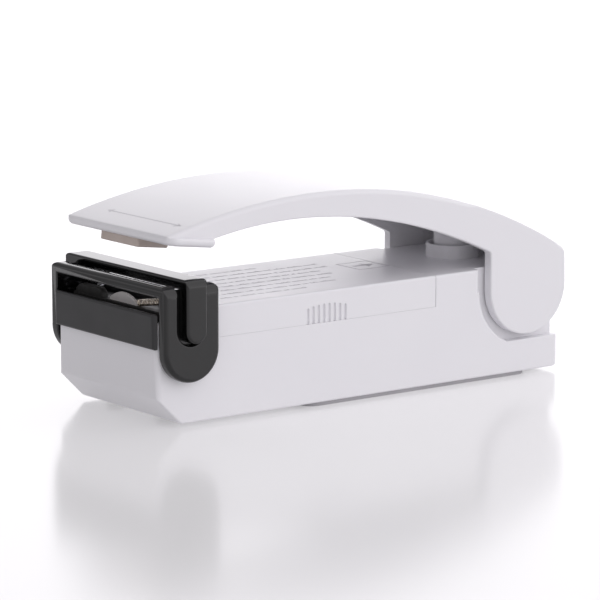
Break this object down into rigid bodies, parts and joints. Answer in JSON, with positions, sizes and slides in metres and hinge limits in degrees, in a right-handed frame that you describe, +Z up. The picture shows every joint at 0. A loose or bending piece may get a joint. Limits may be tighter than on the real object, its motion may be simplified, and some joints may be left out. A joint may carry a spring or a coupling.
{
  "type": "mini bag sealer",
  "caption": "Hand-held battery bag sealer: a white housing, a hinged arched press handle and a black heater head with a sinking guard.",
  "frame": {"origin": "middle of the whole object's box, at the height of the face it rests on", "axes": "+X across the width, +Y from the heater head to the handle's hinge, +Z up"},
  "size_m": [0.042, 0.1018, 0.0422],
  "materials": {
    "white_housing": "moulded, satin gloss",
    "white_cover": "moulded, satin gloss",
    "white_handle": "moulded, satin gloss",
    "black_head": "moulded, satin gloss",
    "black_guard": "moulded, satin gloss",
    "insulating_strip": "pressed mica board",
    "heater_plate": "fired ceramic",
    "heater_wire": "drawn wire",
    "tan_pad": "moulded, matt",
    "magnet_rubber": "calendered, matt",
    "spring_wire": "drawn wire",
    "axle_steel": "ground",
    "ivory_plunger": "moulded",
    "leaf_brass": "rolled strip",
    "black_block": "moulded",
    "cell_wrap": "shrunk film over a steel can",
    "nickel_plate": "nickel-plated strip",
    "wire_black": "extruded",
    "wire_red": "extruded",
    "screw_steel": "zinc plated"
  },
  "bodies": {
    "housing": {"base_shell": "white_housing", "bottom_lid": "white_housing", "magnet_sheet": "magnet_rubber", "heater_base": "black_head", "heater_block": "insulating_strip", "heater_blade": "heater_plate", "heater_coil": "heater_wire", "guard_springs": "spring_wire", "hinge_axle": "axle_steel", "return_spring": "spring_wire", "switch_contact": "leaf_brass", "switch_block": "black_block", "cell_left": "cell_wrap", "cell_right": "cell_wrap", "battery_springs": "nickel_plate", "battery_terminals": "nickel_plate", "battery_bridge": "nickel_plate", "lead_heater": "wire_black", "lead_battery": "wire_red", "lead_switch": "wire_black", "heater_screws": "screw_steel", "lid_screws": "screw_steel"},
    "cover": {"battery_cover": "white_cover"},
    "guard": {"guard_bail": "black_guard", "guard_strap": "black_guard"},
    "handle": {"press_handle": "white_handle", "press_pad": "tan_pad"},
    "plunger": {"switch_plunger": "ivory_plunger"},
    "leaf": {"switch_leaf": "leaf_brass"}
  },
  "joints": [
    {"name": "handle_press", "type": "hinge", "parent": "housing", "child": "handle", "pos_m": [0, 0.04105, 0.0183], "axis": [1, 0, 0], "range_deg": [0, 6], "stiffness_Nm_per_rad": 0.9, "springref_deg": -3.44, "deforming": ["return_spring"]},
    {"name": "guard_sink", "type": "slide", "parent": "housing", "child": "guard", "axis": [0, 0, -1], "range_m": [0, 0.00492], "deforming": ["guard_springs"]},
    {"name": "plunger_travel", "type": "slide", "parent": "housing", "child": "plunger", "axis": [0, 0, -1], "range_m": [0, 0.0006957]},
    {"name": "leaf_flex", "type": "hinge", "parent": "housing", "child": "leaf", "pos_m": [0, 0.0241, 0.01865], "axis": [-1, 0, 0], "range_deg": [0, 3.71]},
    {"name": "cover_lift", "type": "slide", "parent": "housing", "child": "cover", "axis": [0, 0, 1], "range_m": [0, 0.004]}
  ],
  "couplings": [
    {"joint": "guard_sink", "follows": "handle_press", "m_per_rad": 0.046963},
    {"joint": "plunger_travel", "follows": "handle_press", "m_per_rad": 0.006643},
    {"joint": "leaf_flex", "follows": "handle_press", "ratio": 0.6188}
  ]
}
